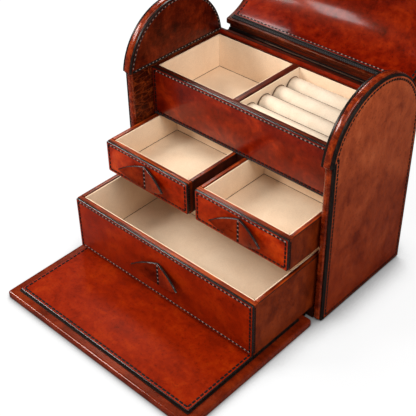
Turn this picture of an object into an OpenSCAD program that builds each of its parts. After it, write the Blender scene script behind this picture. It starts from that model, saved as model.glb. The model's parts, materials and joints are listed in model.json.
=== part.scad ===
// Leather jewellery box with a fall front, a lined tray, three drawers and a barrel lid.
// Millimetres, +Z up. The origin is the middle of the box's base, on the surface it stands on.
// The front is towards -Y. The box is drawn open: lid back, flap down, drawers pulled out.

/* [Box] */
// Width over the leather skins
box_w = 281; // [220:1:360]
// Depth of the end panels at the base
box_d = 145; // [125:1:190]
// Thickness of an end panel
end_t = 8; // [5:0.5:14]
// Thickness of the leather skin outside an end panel
skin_t = 2.5; // [1.5:0.1:4]
// How far the skin stays back from the edge of its panel
skin_inset = 1.2; // [0.5:0.1:3]
// Thickness of the inner arch panel above the step
arch_t = 3.5; // [2:0.1:6]
// Overhang of the arch in front of the panel's lower edge
arch_out = 4.5; // [2:0.1:9]
// Height of the step above the tray's rim
arch_rise = 4; // [1:0.1:12]
// Depth of the arch's centre below the step
arch_drop = 8.8; // [0:0.1:20]

/* [Carcass] */
// Thickness of the base board
base_t = 14.2; // [8:0.1:24]
// Thickness of the back panel
back_t = 4; // [3.8:0.1:10]
// Height of the back panel above the tray's rim
back_rise = 4.9; // [2:0.1:12]
// Thickness of the shelf over the wide drawer
shelf_t = 10.2; // [5:0.1:16]
// Thickness of the partition between the small drawers
partition_t = 9.2; // [4:0.1:16]
// Distance of the tray front behind the end panels' front edges
front_setback = 31; // [18:0.5:45]

/* [Tray] */
// Height of the tray front
tray_h = 58.7; // [40:0.1:90]
// Thickness of the tray front
tray_front_t = 8; // [4:0.1:12]
// Thickness of the tray floor
tray_floor_t = 14; // [6:0.1:24]
// Thickness of the tray's side and back walls
tray_wall_t = 2; // [1.5:0.1:6]
// Thickness of the divider
divider_t = 8.5; // [4:0.1:14]
// Offset of the divider from the middle of the box
divider_x = -13.4; // [-50:0.1:50]
// Distance of the ring rolls' tops below the rim
roll_drop = 7; // [3:0.1:20]
// Gap between the ring rolls and what stands round them
roll_gap = 0.3; // [0.1:0.05:0.8]

/* [Lining] */
// Thickness of the suede lining on the walls
lining_t = 1.5; // [0.8:0.1:3]
// Thickness of the suede lining on the floors
lining_floor_t = 2.5; // [1:0.1:5]
// Distance of the lining's edge below the rim
lining_drop = 1; // [0:0.1:4]

/* [Drawers] */
// Height of the wide drawer
wide_h = 67.8; // [40:0.1:100]
// Height of the small drawers
small_h = 39; // [25:0.1:60]
// How far the wide drawer is pulled out
wide_pull = 109.3; // [60:0.1:115]
// How far the small drawers are pulled out
small_pull = 76.3; // [30:0.1:95]
// Distance of the closed wide drawer behind the end panels' front edges
wide_setback = 14; // [12:0.5:30]
// Gap beside a drawer
side_gap = 2.4; // [0.5:0.1:4]
// Running gap under a drawer
floor_gap = 0.3; // [0.2:0.05:0.8]
// Gap over a drawer
head_gap = 0.5; // [0.3:0.05:1.5]
// Gap behind a closed drawer
rear_gap = 1; // [0.5:0.1:4]
// Gap between a small drawer and the partition
partition_gap = 0.8; // [0.3:0.1:2]
// Thickness of a drawer front
drawer_front_t = 8; // [4:0.1:12]
// Thickness of a drawer's sides and back
drawer_wall_t = 5; // [3:0.1:8]
// Thickness of a drawer bottom
drawer_bottom_t = 4; // [2:0.1:8]

/* [Pull tabs] */
// Width of a pull tab from tip to tip
tab_w = 68; // [40:1:90]
// Height of a pull tab at its seam
tab_h = 29; // [15:0.5:36]
// How far the tips of a pull tab stand off the front
tab_lift = 7.5; // [4:0.1:9]
// Thickness of a pull tab's leather
tab_t = 2.2; // [1.5:0.1:3]

/* [Lid] */
// Thickness of the lid shell
lid_t = 7; // [4:0.1:10]
// Gap between the lid's ends and the arches
lid_gap = 0.5; // [0.3:0.05:1.5]
// Gap between the lid's front edge and the step
lid_front_gap = 0.4; // [0.2:0.05:1.5]
// Angle the lid stands open
lid_open = 90; // [0:1:95]
// Thickness of the raised panel inside the lid
lid_panel_t = 2.5; // [1.5:0.1:4]
// Margin of bare shell round the raised panel
lid_margin = 6; // [4:0.5:16]

/* [Fall front] */
// Thickness of the flap board
flap_t = 8; // [5:0.1:10]
// Distance of the flap's ends inside the box's outer faces
flap_inset = 4.3; // [2.5:0.1:8]
// Gap between the closed flap and the step
flap_gap = 0.5; // [0.3:0.05:1.5]
// Gap between the closed flap and the end panels' front edges
flap_seat = 0.5; // [0.3:0.05:1.5]
// Thickness of the flap's raised panel
flap_panel_t = 3.5; // [1.5:0.1:3.5]
// Margin of bare board round the raised panel
flap_margin = 10.5; // [6:0.5:20]

/* [Hinges] */
// Radius of the lid hinge's barrel
lid_barrel_r = 2.4; // [2:0.1:3.5]
// Radius of the lid hinge's pin
lid_pin_r = 1.2; // [0.8:0.05:1.5]
// Radius of the flap hinge's barrel
flap_barrel_r = 3; // [2.4:0.1:3.2]
// Radius of the flap hinge's pin
flap_pin_r = 1.5; // [1:0.05:1.8]
// Running clearance round a hinge pin
pin_gap = 0.05; // [0.02:0.01:0.1]
// Thickness of a hinge leaf
leaf_t = 0.8; // [0.5:0.05:1]
// Width of a lid hinge leaf on its edge
leaf_w = 3.7; // [2.5:0.1:5.5]
// Gap between the closed leaves of the lid hinge
leaf_gap = 0.4; // [0.2:0.05:0.8]
// Gap between neighbouring knuckles
knuckle_gap = 0.5; // [0.3:0.05:1]
// Distance of a hinge's ends from the ends of its opening
hinge_end = 7; // [3:0.5:20]

/* [Hidden] */
$fn = 64;
knuckles = 9;
roll_count = 4;
barrel_gap = 0.3;

// Levels, from the base upwards
wide_z = base_t + floor_gap;
shelf_z = wide_z + wide_h + head_gap;
small_z = shelf_z + shelf_t + floor_gap;
tray_z = small_z + small_h + head_gap;
tray_top = tray_z + tray_h;
tray_in_z = tray_z + tray_floor_t;
step_h = tray_top + arch_rise;
back_h = tray_top + back_rise;

// Places across the box
core_x = box_w/2 - skin_t;
in_x = core_x - end_t;
arch_x = in_x - arch_t;
lid_x = arch_x - lid_gap;
tray_x = in_x - tray_wall_t;
drawer_x = in_x - side_gap;
flap_x = box_w/2 - flap_inset;
divider_x0 = divider_x - divider_t/2;
divider_x1 = divider_x + divider_t/2;

// Places from front to back
front_y = -box_d/2;
rear_y = box_d/2;
back_y = rear_y - back_t;
tray_y = front_y + front_setback;
tray_in_y = tray_y + tray_front_t;
tray_back_y = back_y - tray_wall_t;

// The arch: one half round from the overhanging front to the rear edge
arch_r = (box_d + arch_out)/2;
arch_y = rear_y - arch_r;
arch_z = step_h - arch_drop;

// Hinge axes
lid_hinge_y = rear_y + lid_barrel_r + barrel_gap;
lid_hinge_z = back_h + leaf_t + leaf_gap/2;
lid_seam_z = lid_hinge_z + leaf_gap/2 + leaf_t;
flap_hinge_z = flap_t/2;
flap_hinge_y = front_y - flap_seat - flap_t/2;
flap_rear_y = flap_hinge_y - flap_barrel_r - barrel_gap - leaf_t - barrel_gap;
flap_front_y = flap_hinge_y - (step_h - flap_gap - flap_hinge_z);
lid_hinge_len = 2*(lid_x - hinge_end);
flap_hinge_len = 2*(in_x - hinge_end);

// A drawer as it stands: left, right, front, rear, bottom, top
wide_len = back_y - rear_gap - front_y - wide_setback;
small_len = back_y - rear_gap - tray_y;
wide_front_y = front_y + wide_setback - wide_pull;
small_front_y = tray_y - small_pull;
small_in_x = partition_t/2 + partition_gap;
wide = [-drawer_x, drawer_x, wide_front_y, wide_front_y + wide_len, wide_z, wide_z + wide_h];
left = [-drawer_x, -small_in_x, small_front_y, small_front_y + small_len, small_z, small_z + small_h];
right = [small_in_x, drawer_x, small_front_y, small_front_y + small_len, small_z, small_z + small_h];

leather = [0.62, 0.20, 0.08];
leather_dark = [0.42, 0.12, 0.05];
leather_side = [0.52, 0.27, 0.16];
suede = [0.92, 0.83, 0.70];
metal = [0.35, 0.28, 0.20];

// A block between two corners
module block(low, high) {
  translate(low) cube(high - low);
}

// An outline in the Y-Z plane, drawn out between two places on X
module along_x(x0, x1) {
  translate([x0, 0, 0]) rotate([90, 0, 90]) linear_extrude(x1 - x0) children();
}

// A round bar along X
module bar(x0, x1, y, z, r) {
  translate([x0, y, z]) rotate([0, 90, 0]) cylinder(h = x1 - x0, r = r);
}

// Rectangle in the Y-Z plane between two corners
module area(y0, z0, y1, z1) {
  translate([y0, z0]) square([y1 - y0, z1 - z0]);
}

// Outline of an end panel: upright below, half round above, stepped back under the overhang
module end_outline(inset = 0) {
  r = arch_r - inset;
  intersection() {
    union() {
      translate([arch_y, arch_z]) circle(r);
      area(arch_y - r, inset, arch_y + r, arch_z);
    }
    union() {
      area(front_y + inset, inset, rear_y, arch_z + arch_r);
      area(arch_y - arch_r, step_h + inset, rear_y, arch_z + arch_r);
    }
  }
}

// Part of the half round above the step, notched for the back panel's upper edge
module arch_outline() {
  difference() {
    intersection() {
      translate([arch_y, arch_z]) circle(arch_r);
      area(arch_y - arch_r, step_h, arch_y + arch_r, arch_z + arch_r);
    }
    area(back_y, 0, arch_y + arch_r, back_h);
  }
}

// Open box of lining that fills a compartment
module lining_box(x0, x1, y0, y1, z0, z1) {
  difference() {
    block([x0, y0, z0], [x1, y1, z1]);
    block([x0 + lining_t, y0 + lining_t, z0 + lining_floor_t], [x1 - lining_t, y1 - lining_t, z1 + 1]);
  }
}

module base_board() {
  color(leather_dark) block([-in_x, front_y, 0], [in_x, back_y, base_t]);
}

module back_panel() {
  color(leather_dark) block([-in_x, back_y, 0], [in_x, rear_y, back_h]);
}

module left_end_panel() {
  color(leather) along_x(-core_x, -in_x) end_outline();
}

module right_end_panel() {
  color(leather) along_x(in_x, core_x) end_outline();
}

module left_end_skin() {
  color(leather_side) along_x(-box_w/2, -core_x) end_outline(skin_inset);
}

module right_end_skin() {
  color(leather_side) along_x(core_x, box_w/2) end_outline(skin_inset);
}

module left_arch_panel() {
  color(leather_dark) along_x(-in_x, -arch_x) arch_outline();
}

module right_arch_panel() {
  color(leather_dark) along_x(arch_x, in_x) arch_outline();
}

module drawer_shelf() {
  color(leather_dark) block([-in_x, tray_y, shelf_z], [in_x, back_y, shelf_z + shelf_t]);
}

module drawer_partition() {
  color(leather_dark) block([-partition_t/2, tray_y, shelf_z + shelf_t], [partition_t/2, back_y, tray_z]);
}

module tray_floor() {
  color(leather_dark) block([-in_x, tray_in_y, tray_z], [in_x, back_y, tray_in_z]);
}

module tray_front() {
  color(leather) block([-in_x, tray_y, tray_z], [in_x, tray_in_y, tray_top]);
}

module tray_back_wall() {
  color(leather) block([-in_x, tray_back_y, tray_in_z], [in_x, back_y, tray_top]);
}

module tray_left_wall() {
  color(leather) block([-in_x, tray_in_y, tray_in_z], [-tray_x, tray_back_y, tray_top]);
}

module tray_right_wall() {
  color(leather) block([tray_x, tray_in_y, tray_in_z], [in_x, tray_back_y, tray_top]);
}

module tray_divider() {
  color(leather) block([divider_x0, tray_in_y, tray_in_z], [divider_x1, tray_back_y, tray_top]);
}

module tray_lining() {
  color(suede) lining_box(-tray_x, divider_x0, tray_in_y, tray_back_y, tray_in_z, tray_top - lining_drop);
}

module ring_lining() {
  color(suede) lining_box(divider_x1, tray_x, tray_in_y, tray_back_y, tray_in_z, tray_top - lining_drop);
}

// One padded roll of the ring compartment, counted from the front: half round above, upright below
module ring_roll(number) {
  y0 = tray_in_y + lining_t;
  pitch = (tray_back_y - lining_t - y0)/roll_count;
  r = (pitch - roll_gap)/2;
  y = y0 + pitch*(number - 0.5);
  top = tray_top - roll_drop;
  along_x(divider_x1 + lining_t + roll_gap, tray_x - lining_t - roll_gap) union() {
    translate([y, top - r]) circle(r);
    area(y - r, tray_in_z + lining_floor_t, y + r, top - r);
  }
}

module ring_roll_1() {
  color(suede) ring_roll(1);
}

module ring_roll_2() {
  color(suede) ring_roll(2);
}

module ring_roll_3() {
  color(suede) ring_roll(3);
}

module ring_roll_4() {
  color(suede) ring_roll(4);
}

// Every second knuckle of a hinge, from the first one given
function knuckle_ends(len, first) = [
  for (i = [first : 2 : knuckles - 1])
    [-len/2 + len/knuckles*i + knuckle_gap/2, -len/2 + len/knuckles*(i + 1) - knuckle_gap/2]];

// Half of the lid hinge as it lies closed: a leaf on its edge and the knuckles that it carries
module lid_leaf(first, leaf_z) {
  difference() {
    union() {
      block([-lid_hinge_len/2, rear_y - leaf_w, leaf_z], [lid_hinge_len/2, rear_y, leaf_z + leaf_t]);
      for (k = knuckle_ends(lid_hinge_len, first)) {
        bar(k[0], k[1], lid_hinge_y, lid_hinge_z, lid_barrel_r);
        block([k[0], rear_y - leaf_w, leaf_z], [k[1], lid_hinge_y, leaf_z + leaf_t]);
      }
    }
    bar(-box_w/2, box_w/2, lid_hinge_y, lid_hinge_z, lid_pin_r + pin_gap);
  }
}

module lid_hinge_box_leaf() {
  color(metal) lid_leaf(0, back_h);
}

module lid_hinge_pin() {
  color(metal) bar(-lid_hinge_len/2, lid_hinge_len/2, lid_hinge_y, lid_hinge_z, lid_pin_r);
}

// Half of the flap hinge: a leaf on an upright edge at leaf_y and the knuckles that it carries
module flap_leaf(first, leaf_y, web_y0, web_y1) {
  difference() {
    union() {
      block([-flap_hinge_len/2, leaf_y, flap_hinge_z - flap_barrel_r],
            [flap_hinge_len/2, leaf_y + leaf_t, flap_hinge_z + flap_barrel_r]);
      for (k = knuckle_ends(flap_hinge_len, first)) {
        bar(k[0], k[1], flap_hinge_y, flap_hinge_z, flap_barrel_r);
        block([k[0], web_y0, flap_hinge_z - leaf_t/2], [k[1], web_y1, flap_hinge_z + leaf_t/2]);
      }
    }
    bar(-box_w/2, box_w/2, flap_hinge_y, flap_hinge_z, flap_pin_r + pin_gap);
  }
}

module flap_hinge_box_leaf() {
  color(metal) flap_leaf(0, front_y - leaf_t, flap_hinge_y, front_y);
}

module flap_hinge_pin() {
  color(metal) bar(-flap_hinge_len/2, flap_hinge_len/2, flap_hinge_y, flap_hinge_z, flap_pin_r);
}

// Turns what is drawn closed back about the lid's hinge
module opened_lid() {
  translate([0, lid_hinge_y, lid_hinge_z]) rotate([-lid_open, 0, 0])
    translate([0, -lid_hinge_y, -lid_hinge_z]) children();
}

// Band of the barrel between two radii, above the levels of its rear and front edges
module barrel_band(r_out, r_in, rear_z, front_z) {
  intersection() {
    translate([arch_y, arch_z]) difference() {
      circle(r_out);
      circle(r_in);
    }
    union() {
      area(arch_y, rear_z, arch_y + arch_r, arch_z + arch_r);
      area(arch_y - arch_r, front_z, arch_y, arch_z + arch_r);
    }
  }
}

module lid_shell() {
  color(leather) opened_lid() along_x(-lid_x, lid_x)
    barrel_band(arch_r, arch_r - lid_t, lid_seam_z, step_h + lid_front_gap);
}

module lid_panel() {
  color(leather) opened_lid() along_x(-lid_x + lid_margin, lid_x - lid_margin)
    barrel_band(arch_r - lid_t, arch_r - lid_t - lid_panel_t, lid_seam_z + lid_margin,
                step_h + lid_front_gap + lid_margin);
}

module lid_hinge_lid_leaf() {
  color(metal) opened_lid() lid_leaf(1, lid_seam_z - leaf_t);
}

module flap_board() {
  color(leather) block([-flap_x, flap_front_y, 0], [flap_x, flap_rear_y, flap_t]);
}

module flap_panel() {
  color(leather) block([-flap_x + flap_margin, flap_front_y + flap_margin, flap_t],
                       [flap_x - flap_margin, flap_rear_y - flap_margin, flap_t + flap_panel_t]);
}

module flap_hinge_flap_leaf() {
  color(metal) flap_leaf(1, flap_rear_y, flap_rear_y, flap_hinge_y);
}

// The pieces of one drawer
module drawer_front(d) {
  color(leather) block([d[0], d[2], d[4]], [d[1], d[2] + drawer_front_t, d[5]]);
}

module drawer_side(d, x0) {
  color(leather_side) block([x0, d[2] + drawer_front_t, d[4]], [x0 + drawer_wall_t, d[3], d[5]]);
}

module drawer_back(d) {
  color(leather_side) block([d[0] + drawer_wall_t, d[3] - drawer_wall_t, d[4]],
                            [d[1] - drawer_wall_t, d[3], d[5]]);
}

module drawer_bottom(d) {
  color(leather_dark) block([d[0] + drawer_wall_t, d[2] + drawer_front_t, d[4]],
                            [d[1] - drawer_wall_t, d[3] - drawer_wall_t, d[4] + drawer_bottom_t]);
}

module drawer_lining(d) {
  color(suede) lining_box(d[0] + drawer_wall_t, d[1] - drawer_wall_t, d[2] + drawer_front_t,
                          d[3] - drawer_wall_t, d[4] + drawer_bottom_t, d[5] - lining_drop);
}

// Leaf-shaped pull: a lens of leather, sewn down its middle, with both wings bowed off the front
module drawer_tab(d) {
  bow_r = (tab_w*tab_w/4 + tab_lift*tab_lift)/(2*tab_lift);
  lens_r = (tab_w*tab_w + tab_h*tab_h)/(4*tab_h);
  reach = tab_lift + 2*tab_t;
  color(leather) translate([(d[0] + d[1])/2, d[2], (d[4] + d[5])/2]) intersection() {
    translate([0, -bow_r, -tab_h]) difference() {
      cylinder(h = 2*tab_h, r = bow_r);
      translate([0, 0, -1]) cylinder(h = 2*tab_h + 2, r = bow_r - tab_t);
    }
    rotate([90, 0, 0]) linear_extrude(reach) intersection() {
      translate([0, lens_r - tab_h/2]) circle(lens_r);
      translate([0, tab_h/2 - lens_r]) circle(lens_r);
    }
  }
}

module wide_drawer_front() {
  drawer_front(wide);
}

module wide_drawer_left_side() {
  drawer_side(wide, wide[0]);
}

module wide_drawer_right_side() {
  drawer_side(wide, wide[1] - drawer_wall_t);
}

module wide_drawer_back() {
  drawer_back(wide);
}

module wide_drawer_bottom() {
  drawer_bottom(wide);
}

module wide_drawer_lining() {
  drawer_lining(wide);
}

module wide_drawer_tab() {
  drawer_tab(wide);
}

module left_drawer_front() {
  drawer_front(left);
}

module left_drawer_left_side() {
  drawer_side(left, left[0]);
}

module left_drawer_right_side() {
  drawer_side(left, left[1] - drawer_wall_t);
}

module left_drawer_back() {
  drawer_back(left);
}

module left_drawer_bottom() {
  drawer_bottom(left);
}

module left_drawer_lining() {
  drawer_lining(left);
}

module left_drawer_tab() {
  drawer_tab(left);
}

module right_drawer_front() {
  drawer_front(right);
}

module right_drawer_left_side() {
  drawer_side(right, right[0]);
}

module right_drawer_right_side() {
  drawer_side(right, right[1] - drawer_wall_t);
}

module right_drawer_back() {
  drawer_back(right);
}

module right_drawer_bottom() {
  drawer_bottom(right);
}

module right_drawer_lining() {
  drawer_lining(right);
}

module right_drawer_tab() {
  drawer_tab(right);
}

base_board();
back_panel();
left_end_panel();
right_end_panel();
left_end_skin();
right_end_skin();
left_arch_panel();
right_arch_panel();
drawer_shelf();
drawer_partition();
tray_floor();
tray_front();
tray_back_wall();
tray_left_wall();
tray_right_wall();
tray_divider();
tray_lining();
ring_lining();
ring_roll_1();
ring_roll_2();
ring_roll_3();
ring_roll_4();
lid_hinge_box_leaf();
lid_hinge_pin();
flap_hinge_box_leaf();
flap_hinge_pin();
lid_shell();
lid_panel();
lid_hinge_lid_leaf();
flap_board();
flap_panel();
flap_hinge_flap_leaf();
wide_drawer_front();
wide_drawer_left_side();
wide_drawer_right_side();
wide_drawer_back();
wide_drawer_bottom();
wide_drawer_lining();
wide_drawer_tab();
left_drawer_front();
left_drawer_left_side();
left_drawer_right_side();
left_drawer_back();
left_drawer_bottom();
left_drawer_lining();
left_drawer_tab();
right_drawer_front();
right_drawer_left_side();
right_drawer_right_side();
right_drawer_back();
right_drawer_bottom();
right_drawer_lining();
right_drawer_tab();
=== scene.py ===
import json
import math

import bmesh
import bpy
from bpy.props import FloatProperty, FloatVectorProperty, IntProperty, PointerProperty
from mathutils import Matrix, Vector


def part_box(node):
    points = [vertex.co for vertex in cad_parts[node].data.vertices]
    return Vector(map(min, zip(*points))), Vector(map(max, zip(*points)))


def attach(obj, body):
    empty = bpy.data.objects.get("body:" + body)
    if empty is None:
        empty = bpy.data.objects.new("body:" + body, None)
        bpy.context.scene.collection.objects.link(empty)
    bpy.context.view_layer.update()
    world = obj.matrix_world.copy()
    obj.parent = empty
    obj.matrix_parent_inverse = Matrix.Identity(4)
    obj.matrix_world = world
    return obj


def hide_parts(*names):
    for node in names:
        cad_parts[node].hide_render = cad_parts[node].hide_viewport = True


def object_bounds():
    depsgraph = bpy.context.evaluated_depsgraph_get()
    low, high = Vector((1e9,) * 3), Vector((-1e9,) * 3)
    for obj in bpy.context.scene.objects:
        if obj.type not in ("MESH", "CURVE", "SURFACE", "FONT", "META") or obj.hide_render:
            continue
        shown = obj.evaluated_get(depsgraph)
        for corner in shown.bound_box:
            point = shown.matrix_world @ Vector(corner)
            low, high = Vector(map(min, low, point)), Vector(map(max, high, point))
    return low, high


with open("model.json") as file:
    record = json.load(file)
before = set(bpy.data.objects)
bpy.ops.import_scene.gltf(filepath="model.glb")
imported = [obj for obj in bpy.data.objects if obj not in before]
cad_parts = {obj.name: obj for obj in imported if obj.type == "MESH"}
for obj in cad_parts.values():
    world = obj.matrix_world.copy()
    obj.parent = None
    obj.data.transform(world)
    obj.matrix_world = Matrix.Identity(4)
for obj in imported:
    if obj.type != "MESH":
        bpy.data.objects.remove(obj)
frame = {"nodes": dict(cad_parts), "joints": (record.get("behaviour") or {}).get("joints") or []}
CAD_LOW, CAD_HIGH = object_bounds()

bl_info = {
    "name": "Leather Jewellery Box",
    "version": (1, 0, 0),
    "blender": (4, 5, 0),
    "location": "View3D > Sidebar > Jewellery Box",
    "description": "Dresses a jewellery box in polished leather, suede and stitching",
    "category": "Add Mesh",
}

MM = 0.001
X, Y, Z = Vector((1, 0, 0)), Vector((0, 1, 0)), Vector((0, 0, 1))
SIDES = (("left", -1), ("right", 1))
DRAWERS = ("wide", "left", "right")

# The end panels' outline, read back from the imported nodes
FRONT_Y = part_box("base_board")[0].y
REAR_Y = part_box("back_panel")[1].y
STEP_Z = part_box("left_arch_panel")[0].z
_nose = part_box("left_end_panel")[0].y - REAR_Y
_rise = STEP_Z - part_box("left_end_panel")[1].z
ARCH_R = -(_nose + _rise) - math.sqrt(2 * _nose * _rise)
ARCH_Y = REAR_Y - ARCH_R
ARCH_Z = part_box("left_end_panel")[1].z - ARCH_R

# The open lid's barrel: its axis, and the levels of its two long edges when it is shut
LID_PIN = Vector(next(j for j in frame["joints"] if j["name"] == "lid_hinge")["pos_m"])
BARREL_Y = LID_PIN.y + ARCH_Z - LID_PIN.z
BARREL_Z = LID_PIN.z - ARCH_Y + LID_PIN.y
LID_LOW, LID_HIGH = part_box("lid_shell")
SEAM_Z = ARCH_Z + math.sqrt(ARCH_R**2 - (BARREL_Z - LID_LOW.z) ** 2)
LIP_Z = ARCH_Z + math.sqrt(ARCH_R**2 - (LID_HIGH.z - BARREL_Z) ** 2)
BARREL = Vector((0, BARREL_Y, BARREL_Z))

# Tints of the shine on dyed leather, on wrapped rims and on edge paint
DYED_SHINE = 1.0, 0.26, 0.06, 1.0
WRAPPED_SHINE = 1.0, 0.45, 0.25, 1.0
PAINTED_SHINE = 1.0, 0.75, 0.6, 1.0

# Seams: their groove, and shares of a stitch and of a step where pale stitches lie between dark ones
GROOVE_DEPTH = 0.35 * MM
DARK_LENGTH, DARK_AT, DARK_ALONE_AT = 0.8, 0.27, 0.5
PALE_AFTER, PALE_LENGTH, PALE_WIDTH = 0.5, 0.72, 0.82

# Skins of the end panels: their black border, how far it lies back, roundings, the bead on it and the seam
SKIN_BORDER, SKIN_BORDER_FRONT, SKIN_BORDER_BACK = 1.6 * MM, 4.2 * MM, 0.25 * MM
SKIN_BORDER_ROUND, SKIN_ROUND, SKIN_BEAD_R = 0.8 * MM, 0.3 * MM, 0.5 * MM
SKIN_SEAM_IN, SKIN_SEAM_IN_FRONT, SKIN_SEAM_SCALE, SKIN_SEAM_BOLD = 2.9 * MM, 2.1 * MM, 0.92, 1.8

# Leather inside the arches: its black border, the strip along the step and the seams
ARCH_CLEAR, ARCH_BORDER, ARCH_BORDER_BACK, ARCH_BACK = 1.4 * MM, 1.5 * MM, 0.9 * MM, 0.6 * MM
ARCH_BORDER_ROUND, ARCH_ROUND, STRIP_ROUND = 1.0 * MM, 0.25 * MM, 0.08 * MM
ARCH_SEAM_IN, ARCH_SEAM_UP = 1.4 * MM, 5.2 * MM
STRIP_T, STRIP_OVER, STRIP_LOW, STRIP_HIGH = 0.1 * MM, 1.2 * MM, 0.2 * MM, 3.6 * MM

# Cords: how far they end short and stand proud, then shares of their radius
CORD_SHORT, CORD_PROUD = 1.0 * MM, 0.15 * MM
CORD_UP, CORD_SINK = 1.05, 0.75

# The back's rounding, and the piping and ticks of thread on the drawers' sides
BACK_ROUND = 1.0 * MM
PIPING_R, PIPING_IN, PIPING_DOWN = 0.5 * MM, 0.35 * MM, 0.75 * MM
TICKS_BEFORE, TICKS_SHORT, TICKS_SCALE = 4.4 * MM, 3.0 * MM, 0.6

# Linings: floor, roundings, the gap round a floor pad and the seams in the corners
LINING_FLOOR, LINING_CORNER, LINING_RIM = 1.2 * MM, 0.6 * MM, 0.45 * MM
PAD_GAP, PAD_ROUND = 0.35 * MM, 0.5 * MM
LINING_SEAM_R, LINING_SEAM_DOWN = 0.3 * MM, 0.5 * MM

# Ring rolls: their filling, what is held while they swell, the threads round the ends, and the dark cords
# laid in the creases as painted shade
ROLL_PRESSURE, ROLL_FRAMES = 4.0, 20
ROLL_FOOT, ROLL_END, ROLL_ROUND = 4.0 * MM, 1.2 * MM, 0.9 * MM
ROLL_STEPS, THREAD_STEPS = 24, 16
END_THREAD_R, END_THREAD_IN, END_THREAD_SINK = 0.4 * MM, 0.9 * MM, 0.5 * MM
CREASE_R, CREASE_SHORT, CREASE_BACK, CREASE_UP = 0.75 * MM, 1.0 * MM, 0.15 * MM, 4.3 * MM

# Pull tabs: steps of the outline, cuts before the bow, share of the arcs in the outline, and the seam
TAB_STEPS, TAB_CUTS, TAB_ARC_SHARE, TAB_CURL, TAB_EDGE = 18, 24, 0.6, 0.2, 0.55 * MM
TAB_SEAM_BOLD, TAB_SEAM_RAISE, TAB_SEAM_SHORT = 2.0, 0.5 * MM, 1.2 * MM

# Lid, fall front and hinge: roundings, the black strip painted round the raised panel as its shadow, and the
# near-black painted shade of the groove round the pin
LID_ROUND = 1.7 * MM
FLAP_CORNER, FLAP_FOOT, FLAP_SEAM_SCALE = 3.5 * MM, 1.0 * MM, 1.1
SHADE_WIDTH, SHADE_RISE = 1.4 * MM, 0.5 * MM
HINGE_GROOVE_SHADE_R = 2.75 * MM

# The studio: floor, lamps and the point that they face, sky, camera
FLOOR_SIZE, FLOOR_DROP, FLOOR_GLOW, FLOOR_GLOW_LEAST, CONTACT_REACH = 12.0, 0.3 * MM, 0.85, 0.15, 0.04
LAMP_AIM = Vector((0, -0.05, 0.12))
LAMPS = (  # name, place, size, watts
    ("key", (-1.30, -0.65, 1.05), 0.35, 12.0),
    ("upper", (-0.90, -1.05, 1.15), 0.40, 15.0),
    ("front", (0.15, -1.0, 1.6), 0.8, 4.0),
    ("rear", (-0.82, 0.52, 1.08), 0.32, 6.0),
    ("fill", (1.0, -0.25, 1.2), 0.8, 11.0),
)
SKY_LEVEL, SKY_REFLECTED = 0.42, 0.05
CAMERA_AT = (0.5223, -0.6420, 0.6798)
CAMERA_AROUND, CAMERA_ABOVE, CAMERA_ROLL = (math.radians(a) for a in (43.55, 37.84, -1.07))
CAMERA_LENS, CAMERA_SENSOR = 78.44, 36.0


def length(name, description, default, top=0.05):
    """A size in metres that a user can change."""
    return FloatProperty(
        name=name, description=description, default=default, min=0.0, soft_max=top,
        unit="LENGTH", subtype="DISTANCE", precision=5)


def colour(name, description, default):
    """A colour that a user can change."""
    return FloatVectorProperty(
        name=name, description=description, default=default, size=3, min=0.0, max=1.0, subtype="COLOR")


class JewelleryBoxSizes(bpy.types.PropertyGroup):
    """Sizes of the leatherwork that dresses the box."""

    stitch_pitch: length("Stitch pitch", "Distance from one stitch to the next", 5.2 * MM)
    stitch_length: length("Stitch length", "Length of a dark stitch", 3.6 * MM)
    stitch_radius: length("Stitch radius", "Radius of the rounded top of a stitch", 1.5 * MM)
    stitch_sink: length("Stitch sink", "Depth of a stitch's middle below the leather", 1.0 * MM)
    groove: length("Seam groove", "Half the width of the groove that a seam lies in", 1.25 * MM)
    stitch_inset: length("Stitch inset", "Distance of a seam from the edge of its panel", 3.4 * MM)
    panel: length("Panel thickness", "Thickness of the leather on the fronts", 2.4 * MM)
    edge: length("Edge rounding", "Rounding of a painted leather edge", 0.9 * MM)
    corner: length("Corner rounding", "Rounding of a leather panel's corners", 2.0 * MM)
    band: length("Band rounding", "Rounding of the wrapped boards", 2.6 * MM)
    rim: length("Rim rounding", "Rounding of the rims round the compartments", 0.9 * MM)
    cord: length("Cord radius", "Half the thickness of the twisted cords", 0.95 * MM)
    lid_panel: length("Lid panel thickness", "Thickness of the raised panel inside the lid", 2.5 * MM)
    lining: length("Lining thickness", "Thickness of the suede on the walls", 1.5 * MM)
    pad: length("Floor pad thickness", "Thickness of the loose suede floor pads", 1.3 * MM)
    roll_slack: length("Roll slack", "How far a ring roll's empty sleeve may swell", 0.7 * MM)
    roll_voxel: length("Roll mesh", "Mesh size of a ring roll's sleeve", 2.0 * MM)
    tab_fold: FloatProperty(
        name="Tab fold", description="Angle between the front and a wing of a pull tab at its seam",
        default=math.radians(11.5), min=0.0, max=0.6, subtype="ANGLE")
    tab_bow: length("Tab bow radius", "Radius of the bow of a pull tab", 80.8 * MM, 0.2)
    tab_lens: length("Tab outline radius", "Radius of the two arcs of a pull tab's outline", 47.1 * MM, 0.2)
    tab_t: length("Tab thickness", "Thickness of a pull tab's leather", 2.6 * MM)
    arc_steps: IntProperty(
        name="Arc steps", description="Number of flats on the large arcs", default=56, min=12)


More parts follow.
